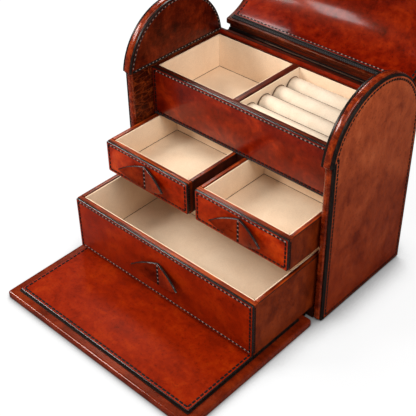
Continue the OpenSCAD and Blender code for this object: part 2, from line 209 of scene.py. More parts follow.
class JewelleryBoxColours(bpy.types.PropertyGroup):
    """Colours of the leather, the suede, the thread and the metal."""

    cognac_light: colour("Cognac, light", "Lightest tone of the polished leather", (0.33, 0.022, 0.0014))
    cognac: colour("Cognac", "Middle tone of the polished leather", (0.215, 0.0082, 0.0006))
    cognac_dark: colour("Cognac, dark", "Darkest tone of the polished leather", (0.085, 0.0026, 0.0004))
    tan_light: colour("Tan, light", "Lightest tone of the plain end skins", (0.40, 0.090, 0.029))
    tan: colour("Tan", "Middle tone of the plain end skins", (0.30, 0.054, 0.0155))
    tan_dark: colour("Tan, dark", "Darkest tone of the plain end skins", (0.17, 0.024, 0.007))
    side_light: colour("Chestnut, light", "Lightest tone of the drawers' sides", (0.19, 0.025, 0.0034))
    side: colour("Chestnut", "Middle tone of the drawers' sides", (0.125, 0.0140, 0.0018))
    side_dark: colour("Chestnut, dark", "Darkest tone of the drawers' sides", (0.06, 0.006, 0.001))
    rim_light: colour("Rim, light", "Lightest tone of the grained rims", (0.30, 0.044, 0.006))
    rim: colour("Rim", "Middle tone of the grained rims", (0.13, 0.0105, 0.0016))
    rim_dark: colour("Rim, dark", "Darkest tone of the grained rims", (0.035, 0.0035, 0.001))
    edge: colour("Edge paint", "Black paint on the cut edges of the leather", (0.007, 0.005, 0.0045))
    thread: colour("Dark thread", "Dark stitches", (0.006, 0.005, 0.005))
    thread_pale: colour("Pale thread", "Pale stitches between the dark ones", (0.30, 0.21, 0.175))
    seam: colour("Lining seam", "Thin seams in the corners of the linings", (0.13, 0.075, 0.045))
    suede_light: colour("Suede, light", "Lightest tone of the lining", (0.90, 0.69, 0.485))
    suede: colour("Suede", "Middle tone of the lining", (0.845, 0.62, 0.42))
    roll_light: colour("Roll suede, light", "Lightest tone of the ring rolls", (0.84, 0.695, 0.53))
    roll: colour("Roll suede", "Middle tone of the ring rolls", (0.76, 0.60, 0.435))
    brass: colour("Brass", "Dark antique brass of the hinges", (0.10, 0.066, 0.035))
    ground: colour("Floor", "Pale floor under the box", (0.9, 0.9, 0.9))


def sizes():
    """The sizes that the scene holds."""
    return bpy.context.scene.jewellery_box_sizes


def colours():
    """The colours that the scene holds."""
    return bpy.context.scene.jewellery_box_colours


class Finish:
    """A material while it is made: its node tree, its shader and short ways to add nodes."""

    def __init__(self, name, **sockets):
        self.material = bpy.data.materials.new(name)
        self.material.use_nodes = True
        self.tree = self.material.node_tree
        self.shader = self.tree.nodes["Principled BSDF"]
        for socket, value in sockets.items():
            self.shader.inputs[socket.replace("_", " ")].default_value = value

    def add(self, kind, **values):
        """Add a node and set its values."""
        made = self.tree.nodes.new(kind)
        for key, value in values.items():
            setattr(made, key, value)
        return made

    def feed(self, socket, value):
        """Link a socket to another one, or set its value."""
        if isinstance(value, bpy.types.NodeSocket):
            self.tree.links.new(value, socket)
        elif socket.type == "RGBA":
            socket.default_value = (*value, 1.0) if hasattr(value, "__len__") else (value, value, value, 1.0)
        else:
            socket.default_value = value

    def place(self, scale=(1, 1, 1), turn=(0, 0, 0)):
        """The piece's own coordinates, turned and stretched."""
        at = self.add("ShaderNodeTexCoord").outputs["Object"]
        mapping = self.add("ShaderNodeMapping")
        self.feed(mapping.inputs["Vector"], at)
        mapping.inputs["Rotation"].default_value = turn
        mapping.inputs["Scale"].default_value = scale
        return mapping.outputs["Vector"]

    def noise(self, at, scale, detail=3.0, rough=0.55, distortion=0.0):
        """Soft noise, about 0.5 in the middle."""
        made = self.add("ShaderNodeTexNoise")
        self.feed(made.inputs["Vector"], at)
        values = {"Scale": scale, "Detail": detail, "Roughness": rough, "Distortion": distortion}
        for socket, value in values.items():
            made.inputs[socket].default_value = value
        return made.outputs["Fac"]

    def cells(self, at):
        """Distance to the edges of irregular cells."""
        made = self.add("ShaderNodeTexVoronoi", feature="DISTANCE_TO_EDGE")
        self.feed(made.inputs["Vector"], at)
        made.inputs["Scale"].default_value = 1.0
        return made.outputs["Distance"]

    def ramp(self, value, *stops):
        """Turn a value into a tone, by stops that each have a place and a tone."""
        made = self.add("ShaderNodeValToRGB")
        self.feed(made.inputs["Fac"], value)
        marks = made.color_ramp.elements
        while len(marks) < len(stops):
            marks.new(0.5)
        for mark, (at, tone) in zip(marks, stops):
            mark.position = at
            mark.color = (*tone, 1.0) if hasattr(tone, "__len__") else (tone, tone, tone, 1.0)
        return made.outputs["Color"]

    def mix(self, share, low, high, how="MIX"):
        """Blend two tones by a share."""
        made = self.add("ShaderNodeMix", data_type="RGBA", blend_type=how)
        self.feed(made.inputs[0], share)
        self.feed(made.inputs[6], low)
        self.feed(made.inputs[7], high)
        return made.outputs[2]

    def work(self, a, b, how="ADD"):
        """One step of arithmetic on two values."""
        made = self.add("ShaderNodeMath", operation=how)
        self.feed(made.inputs[0], a)
        self.feed(made.inputs[1], b)
        return made.outputs["Value"]

    def weigh(self, *shares):
        """The sum of some values, each times its share."""
        first, *rest = [self.work(value, share, "MULTIPLY") for value, share in shares]
        for part in rest:
            first = self.work(first, part)
        return first

    def axes(self, at):
        """The X, Y and Z of coordinates."""
        made = self.add("ShaderNodeSeparateXYZ")
        self.feed(made.inputs["Vector"], at)
        return made.outputs

    def relief(self, height, strength, distance, under=None):
        """Bumps from a height, on top of those under it."""
        made = self.add("ShaderNodeBump")
        made.inputs["Strength"].default_value = strength
        made.inputs["Distance"].default_value = distance
        self.feed(made.inputs["Height"], height)
        if under is not None:
            self.feed(made.inputs["Normal"], under)
        return made.outputs["Normal"]

    def close(self, base, rough=None, normal=None):
        """Feed the shader and hand over the material."""
        self.feed(self.shader.inputs["Base Color"], base)
        if rough is not None:
            self.feed(self.shader.inputs["Roughness"], rough)
        if normal is not None:
            self.feed(self.shader.inputs["Normal"], normal)
        return self.material


def hide(name, dark, middle, light, gloss=0.36, coat=0.0, shine=0.24, creases=0.0, mottle=34.0, drag=0.7,
         foot_shade=None):
    """Aniline leather: cloudy colour, a brushed drag in it, freckles, pores and creases.

    The last argument is painted shade: the share of the tone that is left at the foot of the box, against its
    top."""
    f = Finish(name, Specular_IOR_Level=shine, Specular_Tint=DYED_SHINE,
               Coat_Weight=coat, Coat_Roughness=0.14)
    at = f.place()
    clouds = f.noise(at, mottle, 5.0, 0.62, 0.5)
    patches = f.noise(at, mottle * 4.4, 4.0, 0.6, 0.3)
    brushed = f.noise(f.place((34, 150, 70), (0.4, drag, 0.6)), 1.0, 4.0, 0.6)
    tone = f.weigh((clouds, 0.55), (patches, 0.25), (brushed, 0.20))
    base = f.ramp(tone, (0.37, dark), (0.50, middle), (0.63, light))
    base = f.mix(1.0, base, f.ramp(f.noise(at, 480, 2.0), (0.30, 0.66), (0.43, 1.0)), "MULTIPLY")
    # painted shade: the tone darkens towards the foot of the box
    if foot_shade:
        height = f.work(f.axes(at)["Z"], CAD_HIGH.z * 0.75, "DIVIDE")
        base = f.mix(1.0, base, f.ramp(height, (0.0, foot_shade), (1.0, 1.0)), "MULTIPLY")
    pores = f.work(f.noise(at, 1700, 2.0), f.work(f.noise(at, 420, 3.0), 0.7, "MULTIPLY"))
    normal = f.relief(pores, 0.10, 0.35 * MM)
    if creases:
        folds = f.cells(f.place((70, 45, 170), (0.8, 0.3, 0.0)))
        streaks = f.noise(f.place((60, 160, 60), (0.9, 0.2, 0.1)), 1.0, 5.0, 0.65, 1.2)
        base = f.mix(f.ramp(streaks, (0.40, 0.9 * creases), (0.52, 0.0)), base, dark)
        base = f.mix(f.ramp(streaks, (0.57, 0.0), (0.68, 0.8 * creases)), base, light)
        base = f.mix(f.ramp(folds, (0.0, 0.55 * creases), (0.06, 0.0)), base, light)
        normal = f.relief(f.ramp(folds, (0.0, 0.0), (0.12, 1.0)), 0.25 * creases, 0.5 * MM, normal)
        normal = f.relief(streaks, 0.5 * creases, 1.0 * MM, normal)
    return f.close(base, f.ramp(patches, (0.3, gloss - 0.06), (0.7, gloss + 0.08)), normal)


def grained_rim(name, along, dark, middle, light):
    """Wrapped rim with fine lines along its length."""
    f = Finish(name, Specular_IOR_Level=0.3, Specular_Tint=WRAPPED_SHINE, Coat_Weight=0.08)
    lines = f.noise(f.place(tuple(12 if i == along else 520 for i in range(3))), 1.0, 3.0, 0.6, 0.2)
    clouds = f.noise(f.place(), 45, 4.0)
    base = f.ramp(f.weigh((lines, 0.6), (clouds, 0.4)), (0.41, dark), (0.54, middle), (0.68, light))
    return f.close(base, f.ramp(clouds, (0.3, 0.34), (0.7, 0.48)), f.relief(lines, 0.35, 0.4 * MM))


def edge_paint(name, coat):
    """Black paint on cut edges, a little worn."""
    f = Finish(name, Specular_IOR_Level=0.10, Specular_Tint=PAINTED_SHINE,
               Coat_Weight=coat, Coat_Roughness=0.2)
    wear = f.noise(f.place(), 260, 4.0, 0.65)
    base = f.ramp(wear, (0.42, colours().edge), (0.80, (0.022, 0.013, 0.009)))
    return f.close(base, f.ramp(wear, (0.3, 0.26), (0.7, 0.46)), f.relief(wear, 0.3, 0.3 * MM))


def thread(name, tone):
    """Waxed thread, darker between its fibres."""
    f = Finish(name, Specular_IOR_Level=0.1)
    lay = f.noise(f.place((900, 900, 900)), 1.0, 2.0)
    base = f.mix(f.ramp(lay, (0.35, 0.45), (0.6, 0.0)), tone, (0.01, 0.009, 0.009))
    return f.close(base, f.ramp(lay, (0.3, 0.5), (0.7, 0.7)), f.relief(lay, 0.3, 0.2 * MM))


def twisted(name):
    """Black and grey strands laid into a cord."""
    f = Finish(name, Specular_IOR_Level=0.25)
    lay = f.add("ShaderNodeTexWave", wave_type="BANDS", bands_direction="X")
    f.feed(lay.inputs["Vector"], f.place((1, 1, 1), (0, 0.7, 0.5)))
    lay.inputs["Scale"].default_value = 190.0
    lay.inputs["Distortion"].default_value = 0.6
    strands = lay.outputs["Fac"]
    base = f.ramp(strands, (0.55, colours().thread), (0.90, (0.045, 0.038, 0.036)))
    return f.close(base, f.ramp(strands, (0.3, 0.6), (0.8, 0.38)), f.relief(strands, 0.8, 0.7 * MM))


def napped(name, light, middle):
    """Suede: soft clouds where the nap lies differently, and a fine tooth."""
    f = Finish(name, Specular_IOR_Level=0.08)
    at = f.place()
    nap = f.noise(at, 38, 5.0, 0.65, 0.6)
    tooth = f.noise(at, 1300, 2.0)
    base = f.ramp(nap, (0.33, middle), (0.66, light))
    base = f.mix(0.35, base, f.ramp(tooth, (0.35, 0.72), (0.62, 1.0)), "MULTIPLY")
    return f.close(base, f.ramp(nap, (0.3, 0.88), (0.7, 0.97)), f.relief(tooth, 0.25, 0.3 * MM))


def antique_brass(name):
    """Brass, dark with tarnish."""
    f = Finish(name, Metallic=1.0)
    tarnish = f.noise(f.place(), 130, 5.0, 0.65)
    base = f.ramp(tarnish, (0.35, (0.02, 0.014, 0.009)), (0.62, colours().brass))
    return f.close(base, f.ramp(tarnish, (0.35, 0.62), (0.65, 0.36)), f.relief(tarnish, 0.2, 0.2 * MM))


def hinge_leather(name):
    """Leather laid over a hinge leaf, near black round the pin as painted shade of the hinge's groove."""
    c = colours()
    f = Finish(name, Specular_IOR_Level=0.2, Specular_Tint=WRAPPED_SHINE)
    at = f.axes(f.place())
    far = f.work(f.work(f.work(at["Y"], -LID_PIN.y), 2.0, "POWER"),
                f.work(f.work(at["Z"], -LID_PIN.z), 2.0, "POWER"))
    # painted shade: near black round the pin, where the hinge's groove lies
    groove_shade = f.work(far, HINGE_GROOVE_SHADE_R**2, "LESS_THAN")
    lines = f.noise(f.place((25, 700, 700)), 1.0, 3.0, 0.6)
    base = f.ramp(lines, (0.36, (0.014, 0.002, 0.001)), (0.52, c.rim_dark), (0.68, c.rim))
    base = f.mix(groove_shade, base, (0.004, 0.003, 0.003))
    return f.close(base, f.ramp(lines, (0.3, 0.3), (0.7, 0.46)), f.relief(lines, 0.35, 0.3 * MM))


def leather(name):
    """Dark, middle and light tone of a leather and what sets it apart, or None for other finishes."""
    c = colours()
    cognac = c.cognac_dark, c.cognac, c.cognac_light
    brown = (0.06, 0.0055, 0.0012), c.rim, (0.19, 0.021, 0.003)
    return {
        "cognac_polished": (((0.143, 0.0066, 0.0005), (0.215, 0.0105, 0.0006), (0.28, 0.0205, 0.001)),
                            {"shine": 0.12, "mottle": 44.0}),
        "cognac_cloudy": ((c.cognac_dark, [0.80 * v for v in c.cognac], c.cognac_light),
                          {"coat": 0.48, "mottle": 38.0}),
        "cognac_creased": (((0.055, 0.004, 0.001), (0.16, 0.0125, 0.0017), (0.33, 0.042, 0.006)),
                           {"gloss": 0.26, "coat": 0.4, "creases": 0.7, "mottle": 40.0}),
        "cognac_board": (cognac, {"gloss": 0.33, "coat": 0.05, "creases": 0.3, "mottle": 36.0}),
        "cognac_lid": (((0.056, 0.0016, 0.0003), (0.15, 0.0052, 0.0004), (0.25, 0.015, 0.001)),
                       {"gloss": 0.38, "coat": 0.18, "shine": 0.12}),
        # lighter cognac on the small drawers' fronts: painted light
        "cognac_painted_light": (((0.12, 0.0046, 0.0006), (0.30, 0.0145, 0.0009), (0.46, 0.042, 0.0024)),
                          {"mottle": 40.0}),
        # darker cognac on the pull tabs: painted shade that sets them off from the fronts
        "cognac_tab_painted_shade": (((0.05, 0.0026, 0.0004), (0.145, 0.0085, 0.0008), (0.26, 0.022, 0.0018)),
                       {"gloss": 0.32}),
        # dark cognac inside the arches: painted shade on faces turned away from the light
        "cognac_painted_shade": (((0.016, 0.0012, 0.0004), (0.075, 0.006, 0.0012), (0.20, 0.02, 0.0035)),
                         {"gloss": 0.34, "creases": 0.3, "mottle": 22.0}),
        "brown_wrapped": (brown, {"gloss": 0.28, "coat": 0.10, "creases": 0.1, "mottle": 30.0}),
        "brown_gloss": (brown, {"gloss": 0.22, "coat": 0.6, "mottle": 30.0}),
        "brown_border": (((0.016, 0.0016, 0.0007), (0.05, 0.0048, 0.001), (0.14, 0.017, 0.003)),
                         {"gloss": 0.30, "coat": 0.06, "creases": 0.3, "mottle": 60.0}),
        "brown_wrinkled": (((0.014, 0.0014, 0.0006), (0.055, 0.0058, 0.0012), (0.26, 0.042, 0.007)),
                           {"gloss": 0.34, "creases": 1.0, "mottle": 50.0}),
        # the end skins darken towards the foot of the box as painted shade
        "tan_satin": ((c.tan_dark, c.tan, c.tan_light),
                      {"gloss": 0.5, "shine": 0.05, "mottle": 16.0, "drag": 0.3, "foot_shade": (0.54, 0.25, 0.09)}),
        "chestnut_satin": ((c.side_dark, c.side, c.side_light), {"gloss": 0.45, "shine": 0.14, "drag": 0.3}),
        # near-black leather on inner boards and facing drawer sides: painted shade between parts
        "inner_painted_shade": (((0.012, 0.003, 0.002), (0.035, 0.006, 0.003), (0.07, 0.012, 0.005)), {"gloss": 0.5}),
    }.get(name)


def make_finish(name):
    """Make a finish by its name."""
    known = leather(name)
    if known:
        tones, values = known
        return hide(name, *tones, **values)
    c = colours()
    tray_rim = [[0.6 * v for v in tone] for tone in (c.rim_dark, c.rim, c.rim_light)]
    drawer_rim = (0.045, 0.004, 0.001), (0.25, 0.027, 0.0026), (0.50, 0.095, 0.010)
    maker, *values = {
        "rim_across": (grained_rim, 0, *tray_rim),
        "rim_deep": (grained_rim, 1, *tray_rim),
        "drawer_rim_across": (grained_rim, 0, *drawer_rim),
        "drawer_rim_deep": (grained_rim, 1, *drawer_rim),
        "edge_paint": (edge_paint, 0.1),
        "edge_gloss": (edge_paint, 1.0),
        "thread_dark": (thread, c.thread),
        "thread_pale": (thread, c.thread_pale),
        "lining_seam": (thread, c.seam),
        "twisted_cord": (twisted,),
        "cream_suede": (napped, c.suede_light, c.suede),
        "roll_suede": (napped, c.roll_light, c.roll),
        "antique_brass": (antique_brass,),
        "hinge_leather": (hinge_leather,),
    }[name]
    return maker(name, *values)


def finish(name):
    """A finish by its name, made when it is first asked for."""
    return bpy.data.materials.get(name) or make_finish(name)


def paint(piece, *names):
    """Give a piece its finishes, one material slot each."""
    piece.data.materials.clear()
    for name in names:
        piece.data.materials.append(finish(name))


def only(piece):
    """Leave a piece alone selected and active, in object mode."""
    if bpy.context.mode != "OBJECT":
        bpy.ops.object.mode_set(mode="OBJECT")
    bpy.ops.object.select_all(action="DESELECT")
    if piece is not None:
        piece.select_set(True)
        bpy.context.view_layer.objects.active = piece


def choose(piece, edges=None, faces=None):
    """Open a piece for editing with the edges or faces that pass a test selected."""
    only(piece)
    bpy.ops.object.mode_set(mode="EDIT")
    bpy.ops.mesh.select_mode(type="EDGE" if edges else "FACE")
    bpy.ops.mesh.select_all(action="DESELECT")
    shape = bmesh.from_edit_mesh(piece.data)
    shape.normal_update()
    for part in shape.edges if edges else shape.faces:
        if (edges or faces)(part):
            part.select_set(True)
    bmesh.update_edit_mesh(piece.data)


def done():
    """Leave edit mode."""
    bpy.ops.object.mode_set(mode="OBJECT")


def lies(axis, value):
    """Test: an edge lies in the plane where an axis has a value."""
    return lambda e: all(abs(v.co[axis] - value) < 1e-6 for v in e.verts)


def runs(axis):
    """Test: an edge runs along an axis."""
    return lambda e: abs((e.verts[1].co - e.verts[0].co).normalized()[axis]) > 0.999


def sharp(angle=40):
    """Test: an edge where two faces meet at a corner."""
    return lambda e: len(e.link_faces) == 2 and e.calc_face_angle(0.0) > math.radians(angle)


def faces_to(direction, least=0.9):
    """Test: a face looks in a direction."""
    return lambda f: f.normal.dot(direction) > least


def bevel(piece, test, size, segments=3, slot=-1):
    """Round the edges that pass a test; the new faces get the finish in a slot, if one is given."""
    choose(piece, edges=test)
    bpy.ops.mesh.bevel(offset=size, segments=segments, affect="EDGES", material=slot)
    done()


def assign(piece, test, slot):
    """Give the faces that pass a test the finish in a slot."""
    choose(piece, faces=test)
    piece.active_material_index = slot
    bpy.ops.object.material_slot_assign()
    done()


def named(name):
    """Name the piece that was just made."""
    piece = bpy.context.object
    piece.name = piece.data.name = name
    return piece


def fix_place(piece):
    """Put a piece's place, turn and size into its mesh."""
    only(piece)
    bpy.ops.object.transform_apply(location=True, rotation=True, scale=True)


def spread(first, last, count):
    """Values from first to last in equal steps."""
    return [first + (last - first) * i / count for i in range(count + 1)]


def along_x(x0, x1, y, z):
    """Two points on a line along X."""
    return [Vector((x0, y, z)), Vector((x1, y, z))]


def block(name, low, high):
    """A block between two corners."""
    only(None)
    bpy.ops.mesh.primitive_cube_add(size=1.0, location=(low + high) / 2)
    piece = named(name)
    piece.scale = high - low
    fix_place(piece)
    return piece


def chain(name, points, closed=False, fill=False):
    """Edges from point to point, drawn by extruding one vertex; closed and filled where asked."""
    only(None)
    bpy.ops.mesh.primitive_plane_add(size=1 * MM)
    piece = named(name)
    bpy.ops.object.mode_set(mode="EDIT")
    bpy.ops.mesh.select_mode(type="VERT")
    bpy.ops.mesh.select_all(action="SELECT")
    bpy.ops.mesh.merge(type="CENTER")
    bpy.ops.transform.translate(value=points[0])
    for a, b in zip(points, points[1:]):
        bpy.ops.mesh.extrude_region_move(TRANSFORM_OT_translate={"value": b - a})
    if fill:
        bpy.ops.mesh.select_all(action="SELECT")
        bpy.ops.mesh.edge_face_add()
    elif closed:
        shape = bmesh.from_edit_mesh(piece.data)
        bpy.ops.mesh.select_all(action="DESELECT")
        for v in shape.verts:
            v.select_set(len(v.link_edges) == 1)
        bpy.ops.mesh.edge_face_add()
    done()
    return piece


def slab(name, points, thickness):
    """A filled outline drawn out by a thickness."""
    piece = chain(name, points, fill=True)
    choose(piece, faces=lambda f: True)
    bpy.ops.mesh.extrude_region_move(TRANSFORM_OT_translate={"value": thickness})
    bpy.ops.mesh.select_all(action="SELECT")
    bpy.ops.mesh.normals_make_consistent(inside=False)
    done()
    return piece


def modify(piece, kind, **values):
    """Add a modifier with these values and apply it."""
    only(piece)
    bpy.ops.object.modifier_add(type=kind)
    made = piece.modifiers[-1]
    for key, value in values.items():
        setattr(made, key, value)
    bpy.ops.object.modifier_apply(modifier=made.name)


def settle(piece, body, stands_for=(), smooth=36):
    """Finish a piece: soft shading, the body that it rides on and the nodes it stands for."""
    only(piece)
    bpy.ops.object.shade_smooth_by_angle(angle=math.radians(smooth))
    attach(piece, body)
    if stands_for:
        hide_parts(*stands_for)
    return piece


def tube(name, points, radius, body, look, closed=False):
    """A round cord along a chain of points."""
    piece = chain(name, points, closed)
    only(piece)
    bpy.ops.object.convert(target="CURVE")
    line = bpy.context.object
    line.data.bevel_depth = radius
    line.data.bevel_resolution = 2
    line.data.use_fill_caps = not closed
    bpy.ops.object.convert(target="MESH")
    piece = named(name)
    paint(piece, look)
    return settle(piece, body, smooth=60)


def stitches(name, points, body, pale=True, scale=1.0, bold=1.0):
    """A run of stitches along a chain of points: dark ones, with pale ones between where they show.

    The tops of bold ones are wider and as low as the others; their points lie deeper."""
    s = sizes()
    reach = sum((b - a).length for a, b in zip(points, points[1:]))
    count = max(1, round(reach / (s.stitch_pitch * scale)))
    step = reach / count
    only(None)
    bpy.ops.mesh.primitive_cylinder_add(vertices=8, radius=1.0, depth=2.0, rotation=(0, math.pi / 2, 0))
    piece = named(name)
    fix_place(piece)
    paint(piece, "thread_dark", "thread_pale")
    bpy.ops.object.mode_set(mode="EDIT")
    bpy.ops.mesh.select_all(action="SELECT")
    half = s.stitch_length / 2 * scale * (DARK_LENGTH if pale else 1.0)
    bpy.ops.transform.resize(value=(half, s.stitch_radius * bold, s.stitch_radius * bold))
    bpy.ops.transform.translate(value=(step * (DARK_AT if pale else DARK_ALONE_AT), 0, 0))
    if pale:
        bpy.ops.mesh.duplicate()
        bpy.ops.transform.translate(value=(step * PALE_AFTER, 0, 0))
        middle = step * (DARK_AT + PALE_AFTER), 0, 0
        bpy.ops.transform.resize(value=(PALE_LENGTH, PALE_WIDTH, PALE_WIDTH), center_override=middle)
        piece.active_material_index = 1
        bpy.ops.object.material_slot_assign()
    done()
    modify(piece, "ARRAY", count=count, use_relative_offset=False, use_constant_offset=True,
           constant_offset_displace=(step, 0, 0))
    if len(points) == 2:
        piece.rotation_mode = "QUATERNION"
        piece.rotation_quaternion = X.rotation_difference((points[1] - points[0]).normalized())
        piece.location = points[0]
        fix_place(piece)
    else:
        guide = chain(name + "_line", points)
        only(guide)
        bpy.ops.object.convert(target="CURVE")
        guide = bpy.context.object
        guide.data.use_path = True
        modify(piece, "CURVE", object=guide, deform_axis="POS_X")
        bpy.data.objects.remove(guide)
    return settle(piece, body, smooth=80)


def layer(name, points, depth, look, level, rounding, segments, stands_for=()):
    """Leather on an end panel: an outline drawn out along X, its edges at a level rounded."""
    piece = slab(name, points, X * depth)
    paint(piece, look)
    bevel(piece, lies(0, level), rounding, segments)
    return settle(piece, "box", stands_for)


def wrapped(name, low, high, body, slot, stands_for, *looks):
    """A wrapped board with a rounded rim; a second finish covers its top."""
    piece = block(name, low, high)
    paint(piece, *looks)
    if len(looks) > 1:
        assign(piece, faces_to(Z), 1)
    bevel(piece, lies(2, high.z), sizes().rim, 3)
    return settle(piece, body, stands_for)


def leather_panel(name, low, high, face, look, round_corners=True):
    """A stitched leather panel: rounded corners, painted edges and a groove for its seam.

    face is the way that its leather side looks, along one axis."""
    s = sizes()
    axis = max(range(3), key=lambda i: abs(face[i]))
    piece = block(name, low, high)
    paint(piece, look, "edge_paint", "edge_gloss")
    choose(piece, faces=faces_to(face, 0.99))
    bpy.ops.mesh.inset(thickness=s.stitch_inset - s.groove, depth=0.0)
    bpy.ops.mesh.inset(thickness=s.groove, depth=-GROOVE_DEPTH)
    bpy.ops.mesh.inset(thickness=s.groove, depth=GROOVE_DEPTH)
    done()
    if round_corners:
        bevel(piece, runs(axis), s.corner, 4)
    assign(piece, lambda f: abs(f.normal[axis]) < 0.5, 1)
    front = high[axis] if face[axis] > 0 else low[axis]
    bevel(piece, lambda e: sharp()(e) and lies(axis, front)(e), s.edge, 3, 2)
    return piece


def frame_seams(name, low, high, face, body, pale, scale=1.0):
    """Four straight seams round a panel: bottom, top, left and right."""
    s = sizes()
    axis = max(range(3), key=lambda i: abs(face[i]))
    across, up = [i for i in range(3) if i != axis]
    level = (high if face[axis] > 0 else low)[axis] - math.copysign(s.stitch_sink, face[axis])

    def at(a, b):
        point = Vector((0, 0, 0))
        point[axis], point[across], point[up] = level, a, b
        return point

    a0, a1 = low[across] + s.stitch_inset, high[across] - s.stitch_inset
    b0, b1 = low[up] + s.stitch_inset, high[up] - s.stitch_inset
    lines = (("bottom", at(a0, b0), at(a1, b0)), ("top", at(a0, b1), at(a1, b1)),
             ("left", at(a0, b0), at(a0, b1)), ("right", at(a1, b0), at(a1, b1)))
    for (word, start, end), light in zip(lines, pale):
        stitches(f"{name}_seam_{word}", [start, end], body, light, scale)


def sewn_front(node, body, look, rims, pale=(False, True, False, False), round_corners=True):
    """A front: sewn leather on a wrapped board."""
    low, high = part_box(node)
    back = low.y + sizes().panel
    panel_high = Vector((high.x, back, high.z))
    panel = leather_panel(f"{node}_leather", low, panel_high, -Y, look, round_corners)
    settle(panel, body, [node])
    wrapped(f"{node}_board", Vector((low.x, back, low.z)), high, body, "leather", (), *rims)
    frame_seams(node, low, panel_high, -Y, body, pale)


def end_points(x, inset, front=None):
    """Outline of an end panel at a place on X: upright below, half round above the step.

    front is the inset along the front, and along the arc where it rises from the front."""
    front = inset if front is None else front
    r, middle, step = ARCH_R - (inset + front) / 2, ARCH_Y + (front - inset) / 2, STEP_Z + front
    first = math.asin((step - ARCH_Z) / r)
    turn = spread(0.0, math.pi - first, sizes().arc_steps)
    flat = [(FRONT_Y + front, inset), (REAR_Y - inset, inset)]
    flat += [(middle + r * math.cos(t), ARCH_Z + r * math.sin(t)) for t in turn]
    flat += [(FRONT_Y + front, step)]
    return [Vector((x, y, z)) for y, z in flat]


def arch_points(x, inset, chord=0.0):
    """Outline of the half round above the step: the arc from rear to front, then its chord."""
    r, low = ARCH_R - inset, STEP_Z + chord
    first = math.asin((low - ARCH_Z) / r)
    turn = spread(first, math.pi - first, sizes().arc_steps)
    return [Vector((x, ARCH_Y + r * math.cos(t), ARCH_Z + r * math.sin(t))) for t in turn]


def lid_points(x, radius, rear, front):
    """Arc of the open lid at a radius, from the level of its rear edge round to that of its front edge."""
    first = math.acos((rear - ARCH_Z) / radius)
    last = -math.acos((front - ARCH_Z) / radius)
    turn = spread(first, last, sizes().arc_steps)
    return [Vector((x, BARREL_Y + radius * math.cos(t), BARREL_Z - radius * math.sin(t))) for t in turn]


class JEWELLERY_OT_end_panels(bpy.types.Operator):
    """Wrap the end boards, sew on their outer skins and line their arches."""

    bl_idname = "jewellery.end_panels"
    bl_label = "End Panels"

    def execute(self, context):
        s = sizes()
        for side, sign in SIDES:
            low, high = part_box(f"{side}_end_panel")
            board = slab(f"{side}_end_board", end_points(low.x, 0.0), X * (high.x - low.x))
            paint(board, "cognac_creased", "brown_wrinkled")
            assign(board, faces_to(-sign * X), 1)
            bevel(board, sharp(), s.band, 4, 0)
            settle(board, "box", [f"{side}_end_panel"])
            self.skin(side, sign)
            self.arch(side, sign)
        return {"FINISHED"}

    def skin(self, side, sign):
        """The outer skin: its painted edge, the leather that shows inside it and the seam."""
        s = sizes()
        low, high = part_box(f"{side}_end_skin")
        inner, outer = (low.x, high.x) if sign > 0 else (high.x, low.x)
        inset = low.z
        border, front = inset + SKIN_BORDER, inset + SKIN_BORDER_FRONT
        rim = outer - sign * SKIN_BORDER_BACK
        layer(f"{side}_end_edge", end_points(inner, inset), rim - inner, "edge_paint", rim,
              SKIN_BORDER_ROUND, 3)
        layer(f"{side}_end_leather", end_points(inner, border, front), outer - inner, "tan_satin", outer,
              SKIN_ROUND, 2, [f"{side}_end_skin"])
        bead = end_points(rim, inset + SKIN_BORDER / 2, inset + SKIN_BORDER_FRONT / 2)
        tube(f"{side}_end_bead", bead, SKIN_BEAD_R, "box", "edge_paint", closed=True)
        deep = s.stitch_sink + (SKIN_SEAM_BOLD - 1.0) * s.stitch_radius
        path = end_points(outer - sign * deep, border + SKIN_SEAM_IN, front + SKIN_SEAM_IN_FRONT)
        parts = {"base": path[0:2], "rear": path[1:3], "arc": path[2:-1],
                 "step": path[-2:], "front": [path[-1], path[0]]}
        for word, points in parts.items():
            stitches(f"{side}_end_seam_{word}", points, "box", False, SKIN_SEAM_SCALE, SKIN_SEAM_BOLD)

    def arch(self, side, sign):
        """The half round inside the arch: its painted edge, its leather and the seams along arc and chord."""
        s = sizes()
        low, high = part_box(f"{side}_arch_panel")
        near, back = (low.x, high.x) if sign > 0 else (high.x, low.x)
        rim, face = near + sign * ARCH_BORDER_BACK, near + sign * ARCH_BACK
        border = ARCH_CLEAR + ARCH_BORDER
        layer(f"{side}_arch_edge", arch_points(back, ARCH_CLEAR), rim - back, "edge_paint", rim,
              ARCH_BORDER_ROUND, 3)
        # the leather inside the arch is darkened as painted shade
        layer(f"{side}_arch_leather", arch_points(back, border), face - back, "cognac_painted_shade", face,
              ARCH_ROUND, 2, [f"{side}_arch_panel"])
        arc = arch_points(face + sign * s.stitch_sink, border + ARCH_SEAM_IN, ARCH_SEAM_UP)
        stitches(f"{side}_arch_seam_arc", arc, "box")
        sill = face - sign * STRIP_T
        strip = block(f"{side}_arch_strip",
                      Vector((min(face, sill), arc[-1].y - STRIP_OVER, STEP_Z + STRIP_LOW)),
                      Vector((max(face, sill), arc[0].y + STRIP_OVER, STEP_Z + STRIP_HIGH)))
        paint(strip, "edge_paint")
        bevel(strip, lies(0, sill), STRIP_ROUND, 2)
        settle(strip, "box")
        middle = STEP_Z + (STRIP_LOW + STRIP_HIGH) / 2
        ends = [Vector((sill + sign * s.stitch_sink, y, middle)) for y in (arc[-1].y, arc[0].y)]
        stitches(f"{side}_arch_seam_chord", ends, "box")


